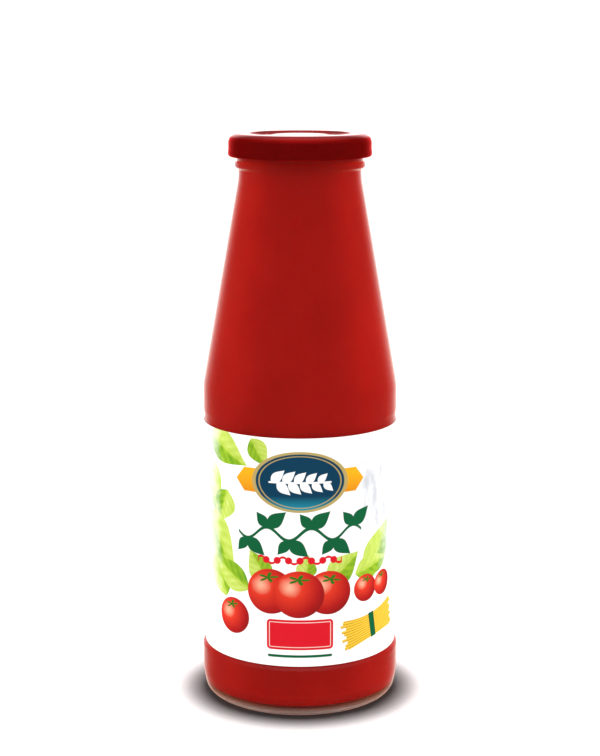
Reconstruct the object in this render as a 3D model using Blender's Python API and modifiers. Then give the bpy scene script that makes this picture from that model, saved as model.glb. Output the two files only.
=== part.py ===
"""A shut bottle of tomato passata: clear glass, red lug lid, wrap-round paper label.

Everything is turned about +Z, in metres. The bottle stands on z = 0 with its axis at x = y = 0, the
middle of the label faces -Y and the label's lap is at the back, at +Y.
"""

import math

import bpy

MM = 0.001

# Driving dimensions, as measured on the outside.
BODY_RADIUS = 39.1 * MM
GLASS_HEIGHT = 227.7 * MM
LID_RADIUS = 28.45 * MM
LID_HEIGHT = 9.2 * MM
LABEL_HEIGHT = 92.4 * MM

# Glass. The inside follows the outside down to the heel, which is thicker and tapers to the base.
WALL = 2.7 * MM
PANEL_RADIUS = BODY_RADIUS - 0.25 * MM
HEEL_RADIUS = BODY_RADIUS + 1.0 * MM
HEEL_TURN_Z = 8.5 * MM
HEEL_TAPER = 1.6 * MM
HEEL_ROUND = 4.5 * MM
SHOULDER_Z = 128.4 * MM
NECK_Z = 211.4 * MM
NECK_RADIUS = 24.4 * MM
CONE_ROUND = 24.0 * MM
BEAD_RADIUS = 25.95 * MM
BEAD_Z = 216.8 * MM
BEAD_HEIGHT = 2.8 * MM
FINISH_RADIUS = 25.0 * MM
BEARING_RADIUS = 30.0 * MM
PUSH_UP = 3.0 * MM
FLOOR_Z = 5.2 * MM
FLOOR_EDGE_Z = 3.8 * MM
FLOOR_ROUND = 5.5 * MM

# Filling. It keeps a small gap to the glass and stops under the lid.
FILL_GAP = 0.3 * MM
FILL_Z = 220.5 * MM

# Lid, pressed from sheet with a rolled lower edge and four lugs.
LID_TOP_Z = 229.0 * MM
LID_SHEET = 0.7 * MM
LID_SHOULDER_ROUND = 3.8 * MM
PANEL_DROP = 0.8 * MM
PANEL_WALL = 0.9 * MM
LID_PANEL_RADIUS = 19.4 * MM
BUTTON_RADIUS = 10.5 * MM
BUTTON_RISE = 0.3 * MM
CURL_HEIGHT = 2.0 * MM
CURL_WIDTH = 2.0 * MM
CURL_OUT = 0.15 * MM
LUG_COUNT = 4
LUG_DEPTH = 1.1 * MM
LUG_HALF_ANGLE = math.radians(11.25)

# Label, one strip of paper whose end laps over its start.
LABEL_BOTTOM_Z = 21.6 * MM
LABEL_GAP = 0.15 * MM
PAPER = 0.12 * MM
LAP_STEPS = 2

# Steps round a full turn, and the largest turn between two points of a broad or a small corner.
SEGMENTS = 64
BROAD_ARC_STEP = math.radians(24)
SMALL_ARC_STEP = math.radians(46)
SMALL_CORNER = 1.5 * MM
MERGE_DISTANCE = 0.01 * MM


def rounded(corners):
    """An outline through (radius, height, rounding) corners, each rounded corner cut into an arc."""
    points = []
    last = len(corners) - 1
    for i, (r, z, rounding) in enumerate(corners):
        if rounding == 0 or i in (0, last):
            points.append((r, z))
            continue
        before = math.atan2(corners[i - 1][1] - z, corners[i - 1][0] - r)
        after = math.atan2(corners[i + 1][1] - z, corners[i + 1][0] - r)
        between = (after - before + math.pi) % (2 * math.pi) - math.pi
        middle = before + between / 2
        half = abs(between) / 2
        centre_r = r + rounding / math.sin(half) * math.cos(middle)
        centre_z = z + rounding / math.sin(half) * math.sin(middle)
        sweep = math.pi - 2 * half
        turn = -math.copysign(sweep, between)
        first = middle + math.pi - turn / 2
        arc_step = SMALL_ARC_STEP if rounding < SMALL_CORNER else BROAD_ARC_STEP
        steps = max(2, math.ceil(sweep / arc_step))
        for step in range(steps + 1):
            angle = first + turn * step / steps
            points.append((centre_r + rounding * math.cos(angle), centre_z + rounding * math.sin(angle)))
    return points


def clear_scene():
    for obj in list(bpy.data.objects):
        bpy.data.objects.remove(obj)


def make_collection(name):
    collection = bpy.data.collections.new(name)
    bpy.context.scene.collection.children.link(collection)
    return collection


def make_material(name, colour, roughness, metallic=0.0, transmission=0.0):
    material = bpy.data.materials.new(name)
    material.use_nodes = True
    shader = material.node_tree.nodes["Principled BSDF"]
    shader.inputs["Base Color"].default_value = (*colour, 1.0)
    shader.inputs["Roughness"].default_value = roughness
    shader.inputs["Metallic"].default_value = metallic
    shader.inputs["Transmission Weight"].default_value = transmission
    return material


def add_object(name, mesh, material, collection):
    mesh.materials.append(material)
    obj = bpy.data.objects.new(name, mesh)
    collection.objects.link(obj)
    return obj


def turned(name, outline, material, collection):
    """A solid of revolution: the outline, from the axis out and down its outer side, screwed about Z."""
    mesh = bpy.data.meshes.new(name)
    edges = [(i, i + 1) for i in range(len(outline) - 1)]
    mesh.from_pydata([(r, 0.0, z) for r, z in outline], edges, [])
    obj = add_object(name, mesh, material, collection)
    screw = obj.modifiers.new("Turn", "SCREW")
    screw.axis = "Z"
    screw.angle = 2 * math.pi
    screw.steps = SEGMENTS
    screw.render_steps = SEGMENTS
    screw.use_merge_vertices = True
    screw.merge_threshold = MERGE_DISTANCE
    screw.use_smooth_shade = True
    return obj


def glass_outside():
    """Corners of the outer glass surface from the lip down to the middle of the push-up."""
    bead_top = BEAD_Z + BEAD_HEIGHT / 2
    bead_bottom = BEAD_Z - BEAD_HEIGHT / 2
    panel_top = LABEL_BOTTOM_Z + LABEL_HEIGHT + 3.0 * MM
    panel_bottom = LABEL_BOTTOM_Z - 0.6 * MM
    band_step = 1.2 * MM
    return [
        (FINISH_RADIUS, GLASS_HEIGHT, 1.4 * MM),
        (FINISH_RADIUS, bead_top, 0.4 * MM),
        (BEAD_RADIUS, bead_top - 0.4 * MM, 1.0 * MM),
        (BEAD_RADIUS, bead_bottom + 0.5 * MM, 1.0 * MM),
        (NECK_RADIUS, bead_bottom - 0.6 * MM, 0.8 * MM),
        (NECK_RADIUS, NECK_Z, CONE_ROUND),
        (BODY_RADIUS, SHOULDER_Z, CONE_ROUND),
        (BODY_RADIUS, panel_top + band_step, 0),
        (PANEL_RADIUS, panel_top, 0),
        (PANEL_RADIUS, panel_bottom, 0),
        (HEEL_RADIUS, panel_bottom - band_step, 0),
        (HEEL_RADIUS, HEEL_TURN_Z, CONE_ROUND),
        (HEEL_RADIUS - HEEL_TAPER, 0, HEEL_ROUND),
        (BEARING_RADIUS, 0, 0),
        (BEARING_RADIUS - 2.5 * MM, PUSH_UP / 2, 0),
        (0, PUSH_UP, 0),
    ]


def glass_inside(inset=0.0):
    """Corners of the inner glass surface from the floor's middle up to the mouth, moved in by inset."""
    body = BODY_RADIUS - WALL - inset
    neck = NECK_RADIUS - WALL - inset
    edge = FLOOR_EDGE_Z + inset
    return [
        (0, FLOOR_Z + inset, 0),
        (body * 0.7, edge + (FLOOR_Z - FLOOR_EDGE_Z) * 0.3, 0),
        (body, edge, FLOOR_ROUND),
        (body, SHOULDER_Z, CONE_ROUND),
        (neck, NECK_Z, CONE_ROUND),
        (neck, GLASS_HEIGHT, 0),
    ]


def make_bottle(collection):
    mouth = (NECK_RADIUS - WALL, GLASS_HEIGHT, 1.0 * MM)
    corners = glass_inside()[:-1] + [mouth] + glass_outside()
    glass = make_material("clear_glass", (0.93, 0.96, 0.93), 0.02, transmission=1.0)
    return turned("bottle", rounded(corners), glass, collection)


def make_passata(collection):
    """The filling follows the inside of the glass up to its level."""
    wall = glass_inside(FILL_GAP)[:-1]
    neck = NECK_RADIUS - WALL - FILL_GAP
    corners = [(0, FILL_Z, 0), (neck, FILL_Z, 0.8 * MM)] + wall[::-1]
    sauce = make_material("tomato_passata", (0.36, 0.012, 0.007), 0.35)
    return turned("passata", rounded(corners), sauce, collection)


def lid_outline():
    """Outer skin from the button to the rolled edge, then back along the inner skin."""
    panel_z = LID_TOP_Z - PANEL_DROP
    bottom_z = LID_TOP_Z - LID_HEIGHT
    curl_top = bottom_z + CURL_HEIGHT
    curl_radius = LID_RADIUS + CURL_OUT
    inner = LID_RADIUS - LID_SHEET
    return rounded([
        (0, panel_z + BUTTON_RISE, 0),
        (BUTTON_RADIUS, panel_z + BUTTON_RISE, 1.0 * MM),
        (BUTTON_RADIUS + 1.5 * MM, panel_z, 1.0 * MM),
        (LID_PANEL_RADIUS, panel_z, 0.4 * MM),
        (LID_PANEL_RADIUS + PANEL_WALL, LID_TOP_Z, 0.6 * MM),
        (LID_RADIUS, LID_TOP_Z, LID_SHOULDER_ROUND),
        (LID_RADIUS, curl_top + 0.8 * MM, 0),
        (curl_radius, curl_top, 0),
        (curl_radius, bottom_z, 1.2 * MM),
        (curl_radius - CURL_WIDTH, bottom_z, 0.7 * MM),
        (curl_radius - CURL_WIDTH, curl_top, 0),
        (inner, curl_top + 1.0 * MM, 0),
        (inner, LID_TOP_Z - LID_SHEET, LID_SHOULDER_ROUND - LID_SHEET),
        (LID_PANEL_RADIUS + PANEL_WALL - 0.2 * MM, LID_TOP_Z - LID_SHEET, 0),
        (LID_PANEL_RADIUS - 0.3 * MM, panel_z - LID_SHEET, 0),
        (0, panel_z - LID_SHEET, 0),
    ])


def press_lugs(mesh):
    """Moves the inner side of the rolled edge inwards at four places, which grip the thread."""
    curl_top = LID_TOP_Z - LID_HEIGHT + CURL_HEIGHT
    curl_middle = LID_RADIUS + CURL_OUT - CURL_WIDTH / 2
    spacing = 2 * math.pi / LUG_COUNT
    for vertex in mesh.vertices:
        x, y, z = vertex.co
        radius = math.hypot(x, y)
        from_lug = (math.atan2(y, x) + spacing) % spacing - spacing / 2
        if z > curl_top + MERGE_DISTANCE or radius > curl_middle or abs(from_lug) > LUG_HALF_ANGLE:
            continue
        scale = (radius - LUG_DEPTH) / radius
        vertex.co = (x * scale, y * scale, z)


def make_lid(collection):
    lacquer = make_material("red_lacquer", (0.42, 0.012, 0.014), 0.25)
    lid = turned("lid", lid_outline(), lacquer, collection)
    bpy.context.view_layer.update()
    graph = bpy.context.evaluated_depsgraph_get()
    mesh = bpy.data.meshes.new_from_object(lid.evaluated_get(graph))
    lid.modifiers.clear()
    lid.data = mesh
    press_lugs(mesh)
    return lid


def make_label(collection):
    """A paper strip wrapped once round the panel from the back, its end raised over its start."""
    steps = SEGMENTS + LAP_STEPS
    step_angle = 2 * math.pi / SEGMENTS
    lift = PAPER + LABEL_GAP
    sides = []
    for step in range(steps + 1):
        radius = PANEL_RADIUS + LABEL_GAP + (lift if step >= SEGMENTS else 0)
        angle = math.pi / 2 + step * step_angle
        sides.append((radius * math.cos(angle), radius * math.sin(angle)))
    points = [(x, y, LABEL_BOTTOM_Z + rise) for x, y in sides for rise in (0.0, LABEL_HEIGHT)]
    faces = [(2 * i, 2 * i + 2, 2 * i + 3, 2 * i + 1) for i in range(steps)]
    mesh = bpy.data.meshes.new("label")
    mesh.from_pydata(points, [], faces)
    mesh.shade_smooth()
    paper = make_material("label_paper", (0.9, 0.9, 0.88), 0.5)
    label = add_object("label", mesh, paper, collection)
    thickness = label.modifiers.new("Paper", "SOLIDIFY")
    thickness.thickness = PAPER
    thickness.offset = 1.0
    return label


def main():
    clear_scene()
    collection = make_collection("passata_bottle")
    make_bottle(collection)
    make_passata(collection)
    make_lid(collection)
    make_label(collection)


main()
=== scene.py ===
"""Looks of a shut bottle of tomato passata: clear glass, filling, lacquered lid and printed label.

The pieces are turned or carried along a path with numpy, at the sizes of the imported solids, in metres.
The middle of the label faces -Y, where the camera is, and its lap is at the back, at +Y.
"""

import math

import bpy
import numpy as np
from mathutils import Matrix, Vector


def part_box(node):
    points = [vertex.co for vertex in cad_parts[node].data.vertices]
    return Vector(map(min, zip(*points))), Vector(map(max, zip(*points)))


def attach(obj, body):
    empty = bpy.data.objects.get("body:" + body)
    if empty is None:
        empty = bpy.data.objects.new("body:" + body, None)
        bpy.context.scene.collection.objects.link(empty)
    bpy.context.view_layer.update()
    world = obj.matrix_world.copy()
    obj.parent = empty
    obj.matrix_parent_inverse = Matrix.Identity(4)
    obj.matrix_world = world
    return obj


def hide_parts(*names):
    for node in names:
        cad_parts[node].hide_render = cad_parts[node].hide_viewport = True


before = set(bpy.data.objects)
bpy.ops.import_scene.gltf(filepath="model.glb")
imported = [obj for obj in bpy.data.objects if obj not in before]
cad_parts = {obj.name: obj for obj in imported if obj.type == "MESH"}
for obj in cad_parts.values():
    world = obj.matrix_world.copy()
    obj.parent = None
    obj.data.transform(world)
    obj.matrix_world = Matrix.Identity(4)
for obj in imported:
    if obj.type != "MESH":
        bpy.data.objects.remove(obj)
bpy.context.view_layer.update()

bl_info = {
    "name": "Passata bottle",
    "version": (1, 0, 0),
    "blender": (4, 5, 0),
    "location": "View3D > Sidebar > Passata",
    "description": "Builds a shut bottle of tomato passata and the studio that it stands in",
    "category": "Add Mesh",
}

MM = 0.001
BODY = "root"
GLASS_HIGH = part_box("bottle")[1]
FILL_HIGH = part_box("passata")[1]
LID_LOW, LID_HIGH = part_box("lid")
LABEL_LOW, LABEL_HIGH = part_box("label")

# The heel stands proud of the body, and the label's panel lies inside it.
HEEL_OUT = 1.0 * MM
PANEL_RECESS = 0.25 * MM
# Air between the paper and what it is wrapped on, and how far the lid's roll stands proud of its side.
LABEL_GAP = 0.15 * MM
CURL_OUT = 0.15 * MM


def length(name, description, default):
    return bpy.props.FloatProperty(
        name=name, description=description, default=default, min=0.0, unit="LENGTH", precision=5)


def colour(name, description, default):
    return bpy.props.FloatVectorProperty(
        name=name, description=description, default=default, subtype="COLOR", min=0.0, max=1.0)


class PassataSizes(bpy.types.PropertyGroup):
    """Sizes of the pieces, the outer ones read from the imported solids."""

    heel_radius: length("Heel radius", "Widest part of the glass, near the base", GLASS_HIGH.x)
    body_radius: length("Body radius", "Glass above the label", GLASS_HIGH.x - HEEL_OUT)
    glass_height: length("Glass height", "From the bearing ring to the lip", GLASS_HIGH.z)
    wall: length("Wall", "Thickness of the glass", 2.7 * MM)
    shoulder_z: length("Shoulder height", "Where the taper meets the body", 128.4 * MM)
    neck_z: length("Neck height", "Where the taper meets the neck", 211.4 * MM)
    neck_radius: length("Neck radius", "Outside of the neck under the bead", 24.4 * MM)
    bead_radius: length("Bead radius", "Outside of the bead under the lid", 25.95 * MM)
    bead_z: length("Bead height", "Middle of the bead above the base", 216.8 * MM)
    fill_z: length("Fill height", "Level of the passata above the base", FILL_HIGH.z)
    lid_radius: length("Lid radius", "Side of the lid above its rolled edge", LID_HIGH.x - CURL_OUT)
    lid_top_z: length("Lid top", "Crest of the lid's rim above the base", LID_HIGH.z)
    lid_bottom_z: length("Lid bottom", "Rolled edge of the lid above the base", LID_LOW.z)
    label_bottom_z: length("Label bottom", "Lower edge of the label above the base", LABEL_LOW.z)
    label_height: length("Label height", "Height of the paper", LABEL_HIGH.z - LABEL_LOW.z)
    paper: length("Paper", "Thickness of the label", 0.12 * MM)


class PassataColours(bpy.types.PropertyGroup):
    """Linear colours of the finishes."""

    glass: colour("Glass", "Cast of the glass", (0.97, 0.99, 0.97))
    rim_glow: colour("Rim glow", "Light that the sauce sends out along the wall", (1.0, 0.28, 0.07))
    sauce: colour("Sauce", "Passata in the middle of its range", (0.42, 0.0085, 0.0055))
    lacquer: colour("Lacquer", "Transparent red lacquer over tinplate", (0.55, 0.010, 0.009))
    paper: colour("Paper", "Unprinted label paper", (0.84, 0.84, 0.83))
    teal: colour("Teal", "Field of the oval", (0.001, 0.036, 0.078))
    gold: colour("Gold", "Rim of the oval", (0.39, 0.29, 0.10))
    orange: colour("Orange", "Ribbon behind the oval", (0.74, 0.34, 0.004))
    vine: colour("Vine", "Vine under the oval", (0.002, 0.095, 0.032))
    red_ink: colour("Red ink", "Garland and plain panel", (0.58, 0.004, 0.014))
    grey_ink: colour("Grey ink", "Pale wash on the right", (0.46, 0.47, 0.50))


def rounded(corners, arc_step=math.radians(9)):
    """Outline through (radius, height, rounding) corners.

    A rounded corner becomes the arc that touches both its sides: its centre lies on the bisector at
    rounding / sin(half the corner's angle), and it sweeps pi less that angle.
    """
    runs = []
    last = len(corners) - 1
    for i, (r, z, rounding) in enumerate(corners):
        here = np.array([r, z])
        if rounding == 0 or i in (0, last):
            runs.append(here[None])
            continue
        back = np.array(corners[i - 1][:2]) - here
        ahead = np.array(corners[i + 1][:2]) - here
        before, after = math.atan2(back[1], back[0]), math.atan2(ahead[1], ahead[0])
        between = (after - before + math.pi) % (2 * math.pi) - math.pi
        middle = before + between / 2
        half = abs(between) / 2
        centre = here + rounding / math.sin(half) * np.array([math.cos(middle), math.sin(middle)])
        turn = -math.copysign(math.pi - 2 * half, between)
        steps = max(3, math.ceil(abs(turn) / arc_step))
        angles = middle + math.pi + turn * (np.arange(steps + 1) / steps - 0.5)
        runs.append(centre + rounding * np.stack([np.cos(angles), np.sin(angles)], -1))
    return np.concatenate(runs)


def supported(outline, near=0.35 * MM, apart=2.5 * MM):
    """The outline with points added to its straight runs, one near each end and the rest evenly apart."""
    runs = []
    for start, end in zip(outline[:-1], outline[1:]):
        run = np.linalg.norm(end - start)
        marks = np.zeros(1)
        if run > 3 * near:
            count = max(2, math.ceil((run - 2 * near) / apart) + 1)
            marks = np.concatenate([marks, np.linspace(near, run - near, count)])
        runs.append(start + (end - start) * (marks / max(run, 1e-9))[:, None])
    return np.concatenate([*runs, outline[-1:]])


def turned_grid(outline, angles):
    """Every (radius, height) of the outline at every angle: x = r cos a, y = r sin a, z = height."""
    radius, height = outline[:, :1], outline[:, 1:]
    x = radius * np.cos(angles)
    y = radius * np.sin(angles)
    return np.stack([x, y, np.broadcast_to(height, x.shape)], -1)


def even_angles(count):
    return np.arange(count) * (2 * math.pi / count)


def closed_round(name, grid):
    """Mesh of a grid that closes round the axis and ends in one point at each pole.

    Ring i and ring i + 1 are joined by quads, and fans of triangles join the first and last rings to
    the poles.
    """
    rings = grid[1:-1]
    rows, columns = rings.shape[:2]
    points = np.concatenate([grid[0, :1], rings.reshape(-1, 3), grid[-1, :1]])
    here = 1 + np.arange(rows * columns).reshape(rows, columns)
    right = np.roll(here, -1, axis=1)
    quads = np.stack([here[:-1], here[1:], right[1:], right[:-1]], -1).reshape(-1, 4)
    first = np.stack([np.zeros(columns, int), here[0], right[0]], -1)
    last = np.stack([np.full(columns, len(points) - 1), right[-1], here[-1]], -1)
    mesh = bpy.data.meshes.new(name)
    mesh.from_pydata(points.tolist(), [], first.tolist() + quads.tolist() + last.tolist())
    mesh.shade_smooth()
    return mesh


def add_piece(name, mesh, node, material):
    """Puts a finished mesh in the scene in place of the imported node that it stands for."""
    mesh.materials.append(material)
    piece = bpy.data.objects.new(name, mesh)
    bpy.context.scene.collection.objects.link(piece)
    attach(piece, BODY)
    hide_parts(node)


def smooth_step(value):
    """0 below 0 and 1 above 1, with level ends between: 3 v squared less 2 v cubed."""
    value = np.clip(value, 0.0, 1.0)
    return value * value * (3 - 2 * value)


class Signal:
    """A socket's value in Python arithmetic: each operation adds one Math node."""

    def __init__(self, recipe, socket):
        self.recipe = recipe
        self.socket = socket

    def math(self, operation, *others, clamp=False):
        return self.recipe.math(operation, self, *others, clamp=clamp)

    def __add__(self, other):
        return self.math("ADD", other)

    def __radd__(self, other):
        return self.math("ADD", other)

    def __sub__(self, other):
        return self.math("SUBTRACT", other)

    def __rsub__(self, other):
        return self.recipe.math("SUBTRACT", other, self)

    def __mul__(self, other):
        return self.math("MULTIPLY", other)

    def __rmul__(self, other):
        return self.math("MULTIPLY", other)

    def __truediv__(self, other):
        return self.math("DIVIDE", other)

    def __abs__(self):
        return self.math("ABSOLUTE")

    def times_plus(self, factor, addend, clamp=False):
        return self.math("MULTIPLY_ADD", factor, addend, clamp=clamp)

    def least(self, other):
        return self.math("MINIMUM", other)

    def most(self, other):
        return self.math("MAXIMUM", other)

    def inside(self, soft):
        """1 where this distance is well under 0 and 0 where it is well over, across a soft edge."""
        return self.times_plus(-1 / soft, 0.5, clamp=True)


class Recipe:
    """A material under construction."""

    def __init__(self, name):
        self.material = bpy.data.materials.new(name)
        self.material.use_nodes = True
        self.tree = self.material.node_tree
        self.tree.nodes.clear()

    def node(self, kind, settings, inputs):
        """Adds a node: its settings first, then a value or a link for each named or numbered socket."""
        node = self.tree.nodes.new(kind)
        for name, value in settings.items():
            if name == "stops":
                self.set_stops(node.color_ramp, value)
            else:
                setattr(node, name, value)
        for name, value in inputs.items():
            self.feed(node.inputs[name], value)
        return node

    def set_stops(self, ramp, stops):
        while len(ramp.elements) < len(stops):
            ramp.elements.new(1.0)
        for element, (place, rgb) in zip(ramp.elements, stops):
            element.position = place
            element.color = (*rgb, 1.0)

    def feed(self, socket, value):
        if isinstance(value, Signal):
            value = value.socket
        if isinstance(value, bpy.types.NodeSocket):
            self.tree.links.new(value, socket)
        elif socket.type == "RGBA":
            socket.default_value = (*value[:3], 1.0)
        else:
            socket.default_value = value

    def math(self, operation, *values, clamp=False):
        settings = {"operation": operation, "use_clamp": clamp}
        node = self.node("ShaderNodeMath", settings, dict(enumerate(values)))
        return Signal(self, node.outputs[0])

    def mix(self, factor, a, b):
        """Colour a where factor is 0 and b where it is 1."""
        node = self.node("ShaderNodeMix", {"data_type": "RGBA"}, {0: factor, 6: a, 7: b})
        return node.outputs[2]

    def split(self, vector):
        node = self.node("ShaderNodeSeparateXYZ", {}, {0: vector})
        return [Signal(self, socket) for socket in node.outputs]

    def placed(self, vector, place, turn=0.0, size=(1.0, 1.0)):
        """The vector in the frame of a motif at a place, turned by an angle and scaled to its size."""
        inputs = {
            "Vector": vector,
            "Location": (place[0], place[1], 0.0),
            "Rotation": (0.0, 0.0, turn),
            "Scale": (size[0], size[1], 1.0),
        }
        return self.node("ShaderNodeMapping", {"vector_type": "TEXTURE"}, inputs).outputs[0]

    def noise(self, vector, scale, detail=2.0, roughness=0.5, stretch=(1.0, 1.0, 1.0)):
        mapping = self.node("ShaderNodeMapping", {}, {"Vector": vector, "Scale": stretch})
        inputs = {"Vector": mapping.outputs[0], "Scale": scale, "Detail": detail, "Roughness": roughness}
        return Signal(self, self.node("ShaderNodeTexNoise", {}, inputs).outputs[0])

    def ramp(self, factor, stops):
        return self.node("ShaderNodeValToRGB", {"stops": stops}, {0: factor}).outputs[0]

    def object_place(self):
        return self.node("ShaderNodeTexCoord", {}, {}).outputs["Object"]

    def bump(self, height, strength, distance):
        inputs = {"Strength": strength, "Distance": distance, "Height": height}
        return self.node("ShaderNodeBump", {}, inputs).outputs[0]

    def principled(self, inputs):
        return self.node("ShaderNodeBsdfPrincipled", {}, inputs).outputs[0]

    def finish(self, shader):
        self.node("ShaderNodeOutputMaterial", {}, {"Surface": shader})
        return self.material


def glass_outside(sizes):
    """Corners of the outer glass surface from the lip down to the middle of the push-up."""
    panel_radius = sizes.body_radius - PANEL_RECESS
    mouth_radius, bead_half = 25.0 * MM, 1.4 * MM
    bead_top = sizes.bead_z + bead_half
    bead_bottom = sizes.bead_z - bead_half
    panel_top = sizes.label_bottom_z + sizes.label_height + 3.0 * MM
    panel_bottom = sizes.label_bottom_z - 0.6 * MM
    band_step = 1.2 * MM
    heel_turn_z, heel_taper = 8.5 * MM, 1.6 * MM
    bearing_radius = 30.0 * MM
    push_up = 3.0 * MM
    return [
        (mouth_radius, sizes.glass_height, 1.4 * MM),
        (mouth_radius, bead_top, 0.4 * MM),
        (sizes.bead_radius, bead_top - 0.4 * MM, 1.0 * MM),
        (sizes.bead_radius, bead_bottom + 0.5 * MM, 1.0 * MM),
        (sizes.neck_radius, bead_bottom - 0.6 * MM, 0.8 * MM),
        (sizes.neck_radius, sizes.neck_z, 24.0 * MM),
        (sizes.body_radius, sizes.shoulder_z, 24.0 * MM),
        (sizes.body_radius, panel_top + band_step, 3.0 * MM),
        (panel_radius, panel_top, 3.0 * MM),
        (panel_radius, panel_bottom, 0.6 * MM),
        (sizes.heel_radius, panel_bottom - band_step, 0.8 * MM),
        (sizes.heel_radius, heel_turn_z, 24.0 * MM),
        (sizes.heel_radius - heel_taper, 0.0, 4.5 * MM),
        (bearing_radius, 0.0, 1.0 * MM),
        (bearing_radius - 2.5 * MM, push_up / 2, 2.0 * MM),
        (0.0, push_up, 0.0),
    ]


def glass_inside(sizes, grow=0.0):
    """Corners of the inner glass surface from the floor's middle to the mouth, moved out by grow."""
    body = sizes.body_radius - sizes.wall + grow
    neck = sizes.neck_radius - sizes.wall + grow
    floor_z, floor_edge_z = 5.2 * MM - grow, 3.8 * MM - grow
    return [
        (0.0, floor_z, 0.0),
        (body * 0.7, floor_edge_z + (floor_z - floor_edge_z) * 0.3, 20.0 * MM),
        (body, floor_edge_z, 5.5 * MM),
        (body, sizes.shoulder_z, 24.0 * MM),
        (neck, sizes.neck_z, 24.0 * MM),
        (neck, sizes.glass_height, 0.0),
    ]


def add_mould_marks(grid):
    """Marks that a glass mould leaves: two fine seams and a knurled bearing ring.

    A seam raises the outer radius by its height times exp(-(distance from it / its width) squared).
    The knurls lift the bearing ring by a cosine of the angle, faded in and out across its width.
    """
    seam_height, seam_width = 0.05 * MM, 0.35 * MM
    knurls, knurl_depth = 64, 0.22 * MM
    ring_middle, ring_half = 32.4 * MM, 2.6 * MM
    x, y, z = np.moveaxis(grid, -1, 0)
    radius = np.hypot(x, y)
    angle = np.arctan2(y, x)
    outer = np.arange(len(grid))[:, None] > np.argmax(z[:, 0])
    from_seam = np.abs((angle + math.pi / 2) % math.pi - math.pi / 2) * radius
    rise = seam_height * np.exp(-(from_seam / seam_width) ** 2) * outer * smooth_step(z / (4 * MM))
    scale = 1 + rise / np.maximum(radius, MM)
    near_ring = smooth_step(1.4 - 1.4 * np.abs(radius - ring_middle) / ring_half)
    low = smooth_step(1 - z / (1.5 * MM)) * outer
    lift = knurl_depth * (0.5 - 0.5 * np.cos(knurls * angle)) * near_ring * low
    return np.stack([x * scale, y * scale, z + lift], -1)


def glass_angles():
    """Even steps for the knurls, with closer ones beside each seam, at 0 and at pi."""
    close = np.radians([-1.0, -0.75, -0.5, -0.25, 0.25, 0.5, 0.75, 1.0])
    return np.unique(np.concatenate([even_angles(256), close % (2 * math.pi), close + math.pi]))


def glass_material(colours):
    """Clear container glass with a slow waviness, frosted by fine stippling at the foot of the heel.

    Lamps shine straight through it, and a sheen carries the light that the sauce sends along the wall.
    A little diffuse white is mixed in at the foot, for the light that the stippling scatters.
    """
    recipe = Recipe("Container glass")
    place = recipe.object_place()
    waves = recipe.noise(place, 55.0, 1.0, 0.4, stretch=(1.0, 1.0, 0.45))
    height = recipe.split(place)[2]
    stippled = height.times_plus(-1 / (2.0 * MM), 2.2, clamp=True)
    glass = recipe.principled({
        "Base Color": colours.glass,
        "Roughness": stippled.times_plus(0.30, 0.015),
        "IOR": 1.5,
        "Transmission Weight": 1.0,
        "Sheen Weight": 0.4,
        "Sheen Roughness": 0.26,
        "Sheen Tint": colours.rim_glow,
        "Normal": recipe.bump(waves, 0.12, 0.4 * MM),
    })
    frost = recipe.node("ShaderNodeBsdfDiffuse", {}, {"Color": (0.62, 0.60, 0.50)}).outputs[0]
    heel = recipe.node("ShaderNodeMixShader", {}, {0: stippled * 0.16, 1: glass, 2: frost}).outputs[0]
    through = recipe.node("ShaderNodeBsdfTransparent", {}, {"Color": (0.93, 0.95, 0.93)}).outputs[0]
    lamp = recipe.node("ShaderNodeLightPath", {}, {}).outputs["Is Shadow Ray"]
    return recipe.finish(recipe.node("ShaderNodeMixShader", {}, {0: lamp, 1: heel, 2: through}).outputs[0])


def sauce_material(colours):
    """Smooth passata: fine pulp in slightly different reds, and light that travels in it."""
    recipe = Recipe("Tomato passata")
    place = recipe.object_place()
    clouds = recipe.noise(place, 38.0, 3.0, 0.55)
    pulp = recipe.noise(place, 900.0, 2.0, 0.6)
    tone = clouds * 0.6 + pulp * 0.4
    sauce = np.array(colours.sauce)
    stops = [(0.3, sauce * 0.88), (0.5, sauce), (0.72, sauce * (1.10, 1.3, 1.2))]
    return recipe.finish(recipe.principled({
        "Base Color": recipe.ramp(tone, stops),
        "Roughness": 0.4,
        "IOR": 1.36,
        "Specular IOR Level": 0.0,
        "Subsurface Weight": 1.0,
        "Subsurface Radius": (1.0, 0.12, 0.06),
        "Subsurface Scale": 3.0 * MM,
    }))


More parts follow.
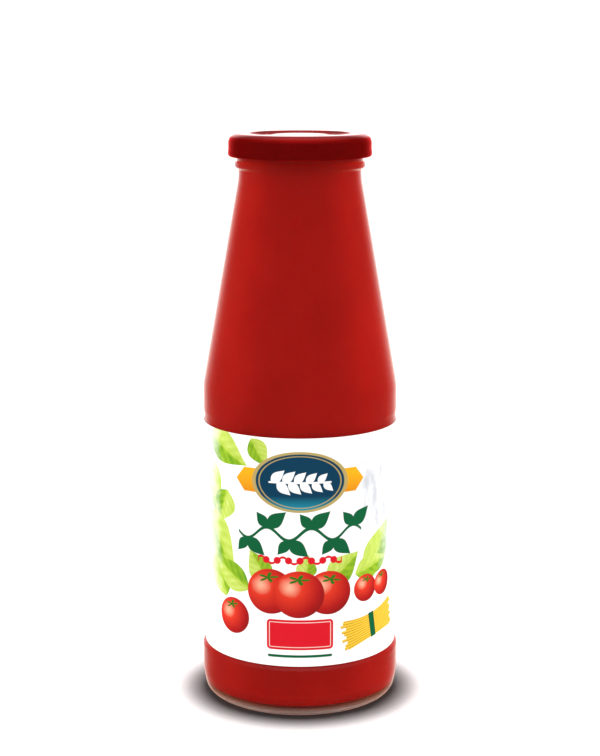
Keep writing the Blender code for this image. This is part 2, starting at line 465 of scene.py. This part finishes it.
def lid_outline(sizes):
    """Outer skin from the button to the rolled edge, then back along the inner skin."""
    sheet, shoulder_round = 0.7 * MM, 3.8 * MM
    panel_z = sizes.lid_top_z - 0.8 * MM
    panel_radius, panel_wall = 19.4 * MM, 0.9 * MM
    button_radius, button_rise = 10.5 * MM, 0.3 * MM
    curl_top = sizes.lid_bottom_z + 2.0 * MM
    curl_radius = sizes.lid_radius + CURL_OUT
    curl_inside = curl_radius - 2.0 * MM
    inner = sizes.lid_radius - sheet
    return rounded([
        (0.0, panel_z + button_rise, 0.0),
        (button_radius, panel_z + button_rise, 2.5 * MM),
        (button_radius + 1.5 * MM, panel_z, 2.5 * MM),
        (panel_radius, panel_z, 0.4 * MM),
        (panel_radius + panel_wall, sizes.lid_top_z, 0.6 * MM),
        (sizes.lid_radius, sizes.lid_top_z, shoulder_round),
        (sizes.lid_radius, curl_top + 0.8 * MM, 1.5 * MM),
        (curl_radius, curl_top, 1.5 * MM),
        (curl_radius, sizes.lid_bottom_z, 1.2 * MM),
        (curl_inside, sizes.lid_bottom_z, 0.7 * MM),
        (curl_inside, curl_top, 0.5 * MM),
        (inner, curl_top + 1.0 * MM, 0.5 * MM),
        (inner, sizes.lid_top_z - sheet, shoulder_round - sheet),
        (panel_radius + panel_wall - 0.2 * MM, sizes.lid_top_z - sheet, 0.3 * MM),
        (panel_radius - 0.3 * MM, panel_z - sheet, 0.3 * MM),
        (0.0, panel_z - sheet, 0.0),
    ])


def press_lugs(grid, sizes):
    """Four lugs: the inner half of the rolled edge moves in, most at a lug's middle.

    The move is the lug's depth times a smooth step of how near the angle is to the lug, and times one
    of how far the point lies inside the middle of the roll.
    """
    lugs, depth = 4, 1.1 * MM
    half_width, soft_end = math.radians(13), math.radians(4)
    x, y, z = np.moveaxis(grid, -1, 0)
    radius = np.hypot(x, y)
    spacing = 2 * math.pi / lugs
    from_lug = np.abs(np.arctan2(y, x) % spacing - spacing / 2)
    near = smooth_step((half_width - from_lug) / soft_end)
    curl_middle = sizes.lid_radius - 0.75 * MM
    inward = smooth_step((curl_middle - radius) / (0.9 * MM))
    low = smooth_step((sizes.lid_bottom_z + 2.3 * MM - z) / (0.8 * MM))
    scale = 1 - depth * near * inward * low / np.maximum(radius, MM)
    return np.stack([x * scale, y * scale, z], -1)


def lacquer_material(sizes, colours):
    """Red lacquer over tinplate: glossiest on top, with faint rolling streaks and orange peel."""
    recipe = Recipe("Red lacquer")
    place = recipe.object_place()
    peel = recipe.noise(place, 1400.0, 1.0, 0.5)
    rubbed = recipe.noise(place, 120.0, 4.0, 0.65, stretch=(1.0, 6.0, 6.0))
    height = recipe.split(place)[2]
    on_top = (height - (sizes.lid_top_z - 1.6 * MM)).times_plus(1 / (0.8 * MM), 0.0, clamp=True)
    lacquer = np.array(colours.lacquer)
    stops = [(0.35, lacquer * 0.9), (0.65, lacquer * 1.06)]
    return recipe.finish(recipe.principled({
        "Base Color": recipe.ramp(rubbed, stops),
        "Metallic": 0.88,
        "Roughness": rubbed.times_plus(0.08, 0.14),
        "Specular Tint": (1.0, 0.06, 0.05),
        "Coat Weight": on_top * 0.98,
        "Coat Roughness": 0.08,
        "Normal": recipe.bump(peel, 0.15, 0.05 * MM),
    }))


# Share of the UV map's height that the printed side takes; the glued side has the rest.
PRINTED_SHARE = 0.95

# The label is drawn in millimetres: across from the middle of its front, and up from its lower edge.
OVAL_LEVEL = 75.0

# Leaves as (foot, heading in degrees, (length, width)), and tomatoes as (middle, radius, turn).
FRONT_LEAVES = [
    ((-44.0, 91.0), -26.0, (25.0, 13.0)),
    ((-20.0, 91.5), -58.0, (13.0, 8.5)),
    ((-47.0, 81.0), -70.0, (26.0, 14.0)),
    ((-32.0, 69.0), -110.0, (15.0, 12.0)),
    ((-47.0, 59.0), -50.0, (30.0, 16.0)),
    ((-47.0, 38.0), -4.0, (22.0, 10.0)),
    ((-33.0, 25.0), 114.0, (25.0, 13.0)),
    ((-21.0, 30.0), 152.0, (23.0, 11.0)),
    ((-13.0, 34.0), 122.0, (15.0, 10.0)),
    ((11.0, 34.0), 40.0, (18.0, 11.0)),
    ((2.0, 36.0), 82.0, (10.0, 8.0)),
    ((29.0, 34.0), 56.0, (26.0, 14.0)),
    ((23.0, 36.0), 14.0, (19.0, 10.0)),
]
TOMATOES = [
    ((-29.0, 18.0), 7.4, 12.0),
    ((28.5, 29.5), 5.6, -8.0),
    ((39.0, 29.5), 5.2, 10.0),
    ((-12.0, 30.5), 9.2, 8.0),
    ((11.5, 30.0), 8.9, -10.0),
    ((-0.5, 29.6), 9.6, 0.0),
]


def label_lengths(sizes):
    """Radius of the paper's inner side, the length of one turn on its outer side, and the lap."""
    radius = sizes.body_radius - PANEL_RECESS + LABEL_GAP
    return radius, 2 * math.pi * (radius + sizes.paper), 7.6 * MM


def label_mesh(sizes):
    """A strip of paper wound once round from the back, its end raised over its start.

    The path is a circle, x = r cos a and y = r sin a with a from pi/2, and r rises by a smooth step
    where the strip begins to lap. The section is carried along it: up the printed side, over the
    edge and down the glued side. The UV map gives the printed side nearly all of its height.
    """
    radius, turn, lap = label_lengths(sizes)
    columns, rows = 480, 24
    along = np.linspace(0.0, turn + lap, columns + 1)
    ramp = 3.0 * MM
    lift = (sizes.paper + LABEL_GAP) * smooth_step((along - turn + ramp) / ramp)
    angle = math.pi / 2 + along / (turn / (2 * math.pi))
    up = np.linspace(0.0, 1.0, rows + 1)
    height = np.concatenate([up, up[::-1]])
    outward = np.repeat([sizes.paper, 0.0], rows + 1)
    r = radius + lift[:, None] + outward
    z = np.broadcast_to(sizes.label_bottom_z + height * sizes.label_height, r.shape)
    points = np.stack([r * np.cos(angle)[:, None], r * np.sin(angle)[:, None], z], -1).reshape(-1, 3)
    ring = len(height)
    here = np.arange(len(points)).reshape(-1, ring)
    above = np.roll(here, -1, axis=1)
    quads = np.stack([here[:-1], here[1:], above[1:], above[:-1]], -1).reshape(-1, 4)
    ends = [here[0].tolist(), here[-1, ::-1].tolist()]
    mesh = bpy.data.meshes.new("label")
    mesh.from_pydata(points.tolist(), [], quads.tolist() + ends)
    glued = 1 - (1 - PRINTED_SHARE) / 2 * (1 - up)
    low = np.concatenate([up[:-1] * PRINTED_SHARE, [PRINTED_SHARE], glued[:0:-1], [0.0]])
    high = np.concatenate([up[1:] * PRINTED_SHARE, [PRINTED_SHARE], glued[-2::-1], [0.0]])
    u = along / along[-1]
    shape = (columns, ring)
    sides_u = (u[:-1], u[1:], u[1:], u[:-1])
    sides_v = (low, low, high, high)
    corner_u = np.stack([np.broadcast_to(side[:, None], shape) for side in sides_u], -1)
    corner_v = np.stack([np.broadcast_to(side, shape) for side in sides_v], -1)
    faces_uv = np.stack([corner_u, corner_v], -1).reshape(-1, 2)
    end_uv = np.zeros((2 * ring, 2))
    layer = mesh.uv_layers.new(name="Print")
    layer.uv.foreach_set("vector", np.concatenate([faces_uv, end_uv]).ravel())
    mesh.shade_smooth()
    mesh.set_sharp_from_angle(angle=math.radians(40))
    return mesh


class Press:
    """Prints motifs on the label, one over the other, each from the position on the paper.

    EDGE is the width of a motif's soft edge, and RAMP_TOP the level where a ramp up the label ends.
    """

    EDGE = 0.22
    RAMP_TOP = 90

    def __init__(self, recipe, sizes, colours):
        self.recipe = recipe
        self.colours = colours
        turn, lap = [value / MM for value in label_lengths(sizes)[1:]]
        height = sizes.label_height / MM
        uv = recipe.node("ShaderNodeUVMap", {"uv_map": "Print"}, {}).outputs[0]
        middle = (turn / 2 / (turn + lap), 0.0)
        scale = (1 / (turn + lap), PRINTED_SHARE / height)
        self.place = recipe.placed(uv, middle, size=scale)
        self.across, self.up, _ = recipe.split(self.place)
        self.cloud = recipe.noise(self.place, 0.16, 3.0, 0.6)
        self.ink = tuple(colours.paper)

    def lay(self, mask, ink):
        self.ink = self.recipe.mix(mask, self.ink, ink)

    def leaf(self, place, turn, size):
        """Mask of a pointed oval leaf, and the place in it: s along, t across and the distance beside.

        With s from 0 to 1 along the leaf, its half width is s (1 - s) (6.2 - 4.4 s).
        """
        length, width = size
        local = self.recipe.placed(self.place, place, math.radians(turn), (length, width / 2))
        s, t, _ = self.recipe.split(local)
        s = s.most(0.0).least(1.0)
        beside = abs(t)
        half = (s * (1 - s)) * s.times_plus(-4.4, 6.2)
        margin = 0.6 * self.EDGE / (width / 2)
        mask = (beside - half + margin).inside(self.EDGE / (width / 2))
        return mask, (s, t, beside)

    def leaf_shade(self, within, width):
        """Shade of a leaf: lit on one side and clouded, with side veins and a pale midrib."""
        s, t, beside = within
        vein = (s.times_plus(5.0, beside * -1.6) * (2 * math.pi)).math("SINE")
        lit = t.times_plus(2.2, 0.5, clamp=True)
        shade = lit.times_plus(0.42, 0.04) + vein * 0.05 + self.cloud * 0.45
        rib = (beside - 0.035 * (8 / width) ** 0.5).inside(0.05)
        return shade + rib * 0.22

    def leaves(self, kinds, stops):
        """Lays many leaves at once: each covers the shade of those before it."""
        cover, shade = None, None
        for place, turn, size in kinds:
            mask, within = self.leaf(place, turn, size)
            tone = self.leaf_shade(within, size[1])
            if cover is None:
                cover, shade = mask, tone
            else:
                shade = shade + mask * (tone - shade)
                cover = cover.most(mask)
        self.lay(cover * self.fade, self.recipe.ramp(shade, stops))

    def plain_leaves(self, kinds, ink):
        cover = None
        for place, turn, size in kinds:
            mask, _ = self.leaf(place, turn, size)
            cover = mask if cover is None else cover.most(mask)
        self.lay(cover, ink)

    def panel(self, across, place, half, corner):
        """Distance to a rectangle with rounded corners: the length of what lies outside its core."""
        x = (abs(across - place[0]) - (half[0] - corner)).most(0.0)
        y = (abs(self.up - place[1]) - (half[1] - corner)).most(0.0)
        return (x * x + y * y).math("SQRT") - corner

    def rule(self, place, half):
        return self.panel(self.across, place, half, min(half) * 0.98).inside(self.EDGE)

    def wash(self):
        """Soft grey brush marks, drawn out upwards, that fade into the paper on the right."""
        grey, white = tuple(self.colours.grey_ink), tuple(self.colours.paper)
        local = self.recipe.placed(self.place, (35.0, 66.0), math.radians(8), (15.0, 27.0))
        x, y, _ = self.recipe.split(local)
        far = (x * x + y * y) + self.cloud * 0.8
        marks = self.recipe.noise(self.place, 0.22, 4.0, 0.6, stretch=(1.0, 0.35, 1.0))
        streaks = self.recipe.ramp(marks, [(0.38, grey), (0.72, white)])
        self.lay(far.times_plus(-1.1, 1.6, clamp=True), streaks)

    def oval(self):
        """A dark oval with a gold rim and a thin inner line, on a short ribbon."""
        c, middle, radii = self.colours, (0.0, OVAL_LEVEL), (19.5, 12.2)
        beside = abs(self.across)
        level = abs(self.up - middle[1])
        notch = level.times_plus(0.8, -27.0) + beside
        ribbon = (level - 4.8).most(notch).inside(self.EDGE)
        amber = [(0.77, (0.60, 0.20, 0.004)), (0.86, tuple(c.orange))]
        self.lay(ribbon, self.recipe.ramp(self.up / self.RAMP_TOP, amber))
        local = self.recipe.placed(self.place, middle, size=radii)
        flat = self.recipe.node("ShaderNodeVectorMath", {"operation": "LENGTH"}, {0: local}).outputs["Value"]
        distance = (Signal(self.recipe, flat) - 1) * radii[1]
        self.lay(distance.inside(self.EDGE), c.gold)
        field = [(0.70, (0.01, 0.25, 0.34)), (0.77, tuple(c.teal))]
        self.lay((distance + 1.0).inside(self.EDGE), self.recipe.ramp(self.up / self.RAMP_TOP, field))
        self.lay((abs(distance + 1.9) - 0.16).inside(self.EDGE), c.gold)

    def sprig(self):
        """A pale sprig in the oval: a stem with leaves in pairs, smaller towards its tip."""
        foot, level, pairs, apart = -11.5, OVAL_LEVEL - 0.2, 5, 4.6
        pale = (0.8, 0.8, 0.77)
        self.lay(self.rule((0.0, level), (12.5, 0.34)), pale)
        leaves = []
        for i in range(pairs):
            x = foot + apart * i
            size = (7.6 - 0.5 * i, 3.9 - 0.25 * i)
            leaves.append(((x, level), 42, size))
            leaves.append(((x + apart / 2, level), -42, size))
        self.plain_leaves(leaves, pale)

    def vine(self):
        """A dark green vine: a stem that follows a sine, with a pair of leaves off each bend."""
        level, swing, wave, reach = 54.0, 2.6, 17.5, 26.0
        stem = (self.across * (2 * math.pi / wave)).math("SINE") * swing + level
        thick = abs(self.up - stem).times_plus(0.72, abs(self.across) * 0.006)
        self.lay((thick - 0.62).most(abs(self.across) - reach).inside(self.EDGE), self.colours.vine)
        leaves = []
        for i in range(6):
            x = (-2.5 + i) * wave / 2
            up = 1 if i % 2 else -1
            y = level + swing * math.sin(2 * math.pi * x / wave)
            leaves.append(((x, y), 40 * up, (10.4, 5.6)))
            leaves.append(((x, y), 180 - 52 * up, (7.6, 4.4)))
        self.plain_leaves(leaves, self.colours.vine)

    def garland(self):
        """A red garland with berries at its bends."""
        level, swing, wave, reach = 43.4, 1.3, 9.0, 17.0
        stem = (self.across * (2 * math.pi / wave)).math("SINE") * swing + level
        line = (abs(self.up - stem) - 0.5).most(abs(self.across) - reach).inside(self.EDGE)
        spot = (self.across / (wave / 2) + 0.5).math("FRACT") - 0.5
        x = spot * (wave / 2)
        y = self.up - level
        berry = ((x * x + y * y).math("SQRT") - 1.45).most(abs(self.across) - reach).inside(self.EDGE)
        self.lay(line.most(berry), self.colours.red_ink)

    def tomato(self, place, radius, turn=0.0):
        """A round tomato: dark at its rim, light towards the upper left, with a green star on top."""
        size = (radius * 1.06, radius)
        local = self.recipe.placed(self.place, place, math.radians(turn), size)
        x, y, _ = self.recipe.split(local)
        far = (x * x + y * y).math("SQRT")
        lit_x, lit_y = x + 0.34, y - 0.30
        lit = (lit_x * lit_x + lit_y * lit_y).math("SQRT")
        shade = lit.times_plus(-0.62, 0.98) + self.cloud * 0.12
        stops = [
            (0.0, (0.13, 0.003, 0.003)),
            (0.35, (0.36, 0.005, 0.004)),
            (0.75, (0.60, 0.028, 0.010)),
            (1.0, (0.76, 0.34, 0.22)),
        ]
        self.lay((far - 1).inside(self.EDGE / radius), self.recipe.ramp(shade, stops))
        top = y - 0.62
        spread = (top * 1.9).math("ARCTAN2", x) * 5
        reach = spread.math("COSINE").times_plus(0.17, 0.27)
        wide = top * 1.9
        star = ((x * x + wide * wide).math("SQRT") - reach).inside(self.EDGE / radius)
        self.lay(star, (0.025, 0.14, 0.006))

    def bundle(self):
        """Dry yellow strands tied in the middle, so that both ends spread and end unevenly.

        The bundle's half width is its waist plus a share of the square of the distance along it.
        """
        middle, turn, reach, waist, strands = (32.5, 13.5), 10.0, 14.5, 5.0, 11
        local = self.recipe.placed(self.place, middle, math.radians(turn))
        along, beside, _ = self.recipe.split(local)
        half = (along * along).times_plus(0.007, waist)
        count = beside / half * (strands / 2)
        uneven = (count.math("FLOOR") * 2.4).math("SINE") * 1.2
        gold = [(0.0, (0.34, 0.15, 0.004)), (0.3, (0.62, 0.33, 0.010)), (0.75, (0.74, 0.50, 0.045))]
        inside = (abs(beside) - half).most(abs(along) - reach - uneven).inside(self.EDGE)
        self.lay(inside, self.recipe.ramp(count.math("FRACT"), gold))
        band = (abs(beside) - half - 0.3).most(abs(along) - 1.5).inside(self.EDGE)
        self.lay(band, self.colours.vine)

    def plaque(self):
        """A bare red panel with a pale inner line, over a green rule."""
        place, half = (0.0, 13.0), (13.4, 6.2)
        distance = self.panel(self.across, place, half, 1.6)
        self.lay(distance.inside(self.EDGE), self.colours.red_ink)
        self.lay((abs(distance + 1.1) - 0.14).inside(self.EDGE), (0.72, 0.60, 0.55))
        self.lay(self.rule((0.0, 4.2), (13.0, 0.55)), self.colours.vine)

    def back_panels(self):
        """Two cream panels behind, one on each side of the lap, framed in green and left bare."""
        distance = self.panel(abs(self.across), (90.0, 46.0), (21.0, 37.0), 4.0)
        self.lay(distance.inside(self.EDGE), (0.66, 0.58, 0.36))
        self.lay((abs(distance + 1.6) - 0.6).inside(self.EDGE), self.colours.vine)

    def run(self):
        """Prints every motif in order and returns the ink's colour."""
        wobble = self.cloud * 10 + abs(self.across)
        self.fade = wobble.times_plus(-1 / 13, 54.0 / 13, clamp=True)
        deep, mid, pale = (0.10, 0.27, 0.006), (0.30, 0.44, 0.018), (0.45, 0.56, 0.10)
        greens = [(0.14, deep), (0.42, mid), (0.72, pale), (0.98, (0.66, 0.72, 0.34))]
        self.wash()
        self.leaves(FRONT_LEAVES, greens)
        self.oval()
        self.sprig()
        self.vine()
        self.garland()
        self.bundle()
        for place, radius, turn in TOMATOES:
            self.tomato(place, radius, turn)
        self.plaque()
        self.back_panels()
        return self.ink


def label_material(sizes, colours):
    """White coated paper: the print, a faint fibre relief and an even low gloss."""
    recipe = Recipe("Label paper")
    press = Press(recipe, sizes, colours)
    ink = press.run()
    fibre = recipe.noise(recipe.object_place(), 2600.0, 2.0, 0.6)
    return recipe.finish(recipe.principled({
        "Base Color": ink,
        "Roughness": 0.42,
        "Specular IOR Level": 0.15,
        "Normal": recipe.bump(fibre, 0.12, 0.02 * MM),
    }))


class PASSATA_OT_glass(bpy.types.Operator):
    """Turn the glass bottle, open at its mouth under the lid"""

    bl_idname = "passata.glass"
    bl_label = "Glass"

    def execute(self, context):
        sizes = context.scene.passata_sizes
        mouth = (sizes.neck_radius - sizes.wall, sizes.glass_height, 1.0 * MM)
        corners = glass_inside(sizes)[:-1] + [mouth] + glass_outside(sizes)
        grid = turned_grid(supported(rounded(corners), apart=4.5 * MM), glass_angles())
        mesh = closed_round("glass_bottle", add_mould_marks(grid))
        material = glass_material(context.scene.passata_colours)
        add_piece("glass_bottle", mesh, "bottle", material)
        return {"FINISHED"}


class PASSATA_OT_filling(bpy.types.Operator):
    """Fill the bottle, the sauce reaching just into the wall so that no air shows"""

    bl_idname = "passata.filling"
    bl_label = "Filling"

    def execute(self, context):
        sizes = context.scene.passata_sizes
        overlap = 0.2 * MM
        wall = glass_inside(sizes, overlap)
        neck = wall[-1][0]
        corners = [(0.0, sizes.fill_z, 0.0), (neck, sizes.fill_z, 0.8 * MM)] + wall[-2::-1]
        grid = turned_grid(supported(rounded(corners)), even_angles(192))
        material = sauce_material(context.scene.passata_colours)
        add_piece("passata_fill", closed_round("passata_fill", grid), "passata", material)
        return {"FINISHED"}


class PASSATA_OT_lid(bpy.types.Operator):
    """Press the lid with its button, rolled edge and lugs"""

    bl_idname = "passata.lid"
    bl_label = "Lid"

    def execute(self, context):
        sizes = context.scene.passata_sizes
        outline = supported(lid_outline(sizes), 0.2 * MM, 1.5 * MM)
        grid = press_lugs(turned_grid(outline, even_angles(256)), sizes)
        material = lacquer_material(sizes, context.scene.passata_colours)
        add_piece("lug_lid", closed_round("lug_lid", grid), "lid", material)
        return {"FINISHED"}


class PASSATA_OT_label(bpy.types.Operator):
    """Wrap the printed label round the bottle"""

    bl_idname = "passata.label"
    bl_label = "Label"

    def execute(self, context):
        sizes = context.scene.passata_sizes
        material = label_material(sizes, context.scene.passata_colours)
        add_piece("wrap_label", label_mesh(sizes), "label", material)
        return {"FINISHED"}


def add_soft_light(name, irradiance, round_from_front, elevation, spread):
    """A wide soft light from a direction, as even far away as near, that leaves no highlight.

    The angles are in degrees: round from the front, positive towards the right, and up from level.
    """
    lamp = bpy.data.lights.new(name, "SUN")
    lamp.energy = irradiance
    lamp.angle = math.radians(spread)
    light = bpy.data.objects.new(name, lamp)
    light.rotation_euler = (math.radians(90 - elevation), 0.0, math.radians(round_from_front))
    light.visible_glossy = False
    light.visible_transmission = False
    bpy.context.scene.collection.objects.link(light)
    return light


def flag_off(lamps, floor):
    """Keeps the floor out of the lamps' light, as a flag on a stand does."""
    shaded = bpy.data.collections.new("shaded")
    shaded.objects.link(floor)
    shaded.collection_objects[0].light_linking.link_state = "EXCLUDE"
    for lamp in lamps:
        lamp.light_linking.receiver_collection = shaded


def add_camera():
    """Camera 0.71 m in front, a little above the lid, looking down as the photograph does."""
    data = bpy.data.cameras.new("camera")
    distance, height, down = 0.706, 0.2662, 10.89
    data.lens = 84.4
    data.sensor_width = 36.0
    camera = bpy.data.objects.new("camera", data)
    camera.location = (0.0, -distance, height)
    camera.rotation_euler = (math.radians(90 - down), 0.0, 0.0)
    bpy.context.scene.collection.objects.link(camera)
    bpy.context.scene.camera = camera


def add_floor():
    """A wide white table, a flat grid a little under the bearing ring, that glows a little itself.

    Its colour carries a painted contact shadow. It darkens where the bottle closes it in from behind,
    which strengthens the contact shadow under the overhead light, and its glow darkens with it.
    The camera sees that painted shadow directly, and the glass doesn't.
    """
    half, drop, glow, count = 12.0, 0.1 * MM, 0.32, 9
    x, y = np.meshgrid(np.linspace(-half, half, count), np.linspace(-half, half, count))
    points = np.stack([x, y, np.full_like(x, -drop)], -1).reshape(-1, 3)
    here = np.arange(count * count).reshape(count, count)
    quads = np.stack([here[:-1, :-1], here[:-1, 1:], here[1:, 1:], here[1:, :-1]], -1).reshape(-1, 4)
    mesh = bpy.data.meshes.new("floor")
    mesh.from_pydata(points.tolist(), [], quads.tolist())
    recipe = Recipe("Studio floor")
    # Painted contact shadow: occlusion darkens the floor's colour and glow beside the bottle, seen by the
    # camera only.
    near = {"Distance": 14 * MM, "Normal": (0.0, 0.6, 0.8)}
    openness = recipe.node("ShaderNodeAmbientOcclusion", {"samples": 8}, near).outputs["AO"]
    deep = recipe.ramp(openness, [(0.50, (0.03, 0.03, 0.03)), (0.78, (0.40,) * 3), (0.98, (0.94,) * 3)])
    seen = recipe.node("ShaderNodeLightPath", {}, {}).outputs["Is Camera Ray"]
    tone = recipe.mix(seen, (0.94, 0.94, 0.94), deep)
    mesh.materials.append(recipe.finish(recipe.principled({
        "Base Color": tone,
        "Roughness": 0.8,
        "Emission Color": tone,
        "Emission Strength": glow,
    })))
    floor = bpy.data.objects.new("floor", mesh)
    floor.visible_glossy = False
    bpy.context.scene.collection.objects.link(floor)
    return floor


def set_world():
    """A surround that is white behind the bottle, softer overhead and dim in front.

    Each part rises from dim as a power of the direction: of its y for the backdrop and of its z for
    overhead. The camera sees it white all round.
    """
    world = bpy.data.worlds.new("Studio")
    bpy.context.scene.world = world
    world.use_nodes = True
    tree = world.node_tree
    tree.nodes.clear()
    place = tree.nodes.new("ShaderNodeTexCoord")
    split = tree.nodes.new("ShaderNodeSeparateXYZ")
    tree.links.new(place.outputs["Generated"], split.inputs[0])
    brightest = tree.nodes.new("ShaderNodeLightPath").outputs["Is Camera Ray"]
    dim = 0.08
    for axis, start, power, strength in (("Y", 0.3, 4.0, 1.5), ("Z", 0.3, 2.0, 0.6)):
        rise = tree.nodes.new("ShaderNodeMapRange")
        rise.inputs["From Min"].default_value = start
        rise.inputs["From Max"].default_value = 1.0
        tree.links.new(split.outputs[axis], rise.inputs["Value"])
        value = rise.outputs["Result"]
        for operation, number in (("POWER", power), ("MULTIPLY", strength - dim), ("ADD", dim)):
            step = tree.nodes.new("ShaderNodeMath")
            step.operation = operation
            tree.links.new(value, step.inputs[0])
            step.inputs[1].default_value = number
            value = step.outputs[0]
        brighter = tree.nodes.new("ShaderNodeMath")
        brighter.operation = "MAXIMUM"
        tree.links.new(brightest, brighter.inputs[0])
        tree.links.new(value, brighter.inputs[1])
        brightest = brighter.outputs[0]
    background = tree.nodes.new("ShaderNodeBackground")
    background.inputs["Color"].default_value = (1.0, 1.0, 1.0, 1.0)
    output = tree.nodes.new("ShaderNodeOutputWorld")
    tree.links.new(brightest, background.inputs["Strength"])
    tree.links.new(background.outputs[0], output.inputs["Surface"])


class PASSATA_OT_studio(bpy.types.Operator):
    """Set up the table, the surround, the lights and the camera"""

    bl_idname = "passata.studio"
    bl_label = "Studio"

    def execute(self, context):
        for startup in ("Cube", "Light", "Camera"):
            if startup in bpy.data.objects:
                bpy.data.objects.remove(bpy.data.objects[startup])
        context.scene.view_settings.view_transform = "Standard"
        add_camera()
        floor = add_floor()
        set_world()
        add_soft_light("overhead", 2.5, 0, 90, 100)
        key = add_soft_light("key", 2.0, 0, 26, 60)
        left = add_soft_light("left", 5.3, -118, 8, 36)
        right = add_soft_light("right", 5.7, 118, 8, 36)
        flag_off([key, left, right], floor)
        return {"FINISHED"}


class PASSATA_PT_sidebar(bpy.types.Panel):
    """Lists the pieces and the studio"""

    bl_idname = "PASSATA_PT_sidebar"
    bl_label = "Passata bottle"
    bl_space_type = "VIEW_3D"
    bl_region_type = "UI"
    bl_category = "Passata"

    def draw(self, context):
        for group in (context.scene.passata_sizes, context.scene.passata_colours):
            for name in group.__annotations__:
                self.layout.prop(group, name)
        for operator in OPERATORS:
            self.layout.operator(operator.bl_idname)


OPERATORS = (PASSATA_OT_studio, PASSATA_OT_filling, PASSATA_OT_glass, PASSATA_OT_lid, PASSATA_OT_label)
CLASSES = (PassataSizes, PassataColours, *OPERATORS, PASSATA_PT_sidebar)


def register():
    for cls in CLASSES:
        bpy.utils.register_class(cls)
    bpy.types.Scene.passata_sizes = bpy.props.PointerProperty(type=PassataSizes)
    bpy.types.Scene.passata_colours = bpy.props.PointerProperty(type=PassataColours)


def unregister():
    del bpy.types.Scene.passata_colours
    del bpy.types.Scene.passata_sizes
    for cls in reversed(CLASSES):
        bpy.utils.unregister_class(cls)


def main():
    register()
    bpy.ops.passata.studio()
    bpy.ops.passata.filling()
    bpy.ops.passata.glass()
    bpy.ops.passata.lid()
    bpy.ops.passata.label()


if __name__ == "__main__":
    main()
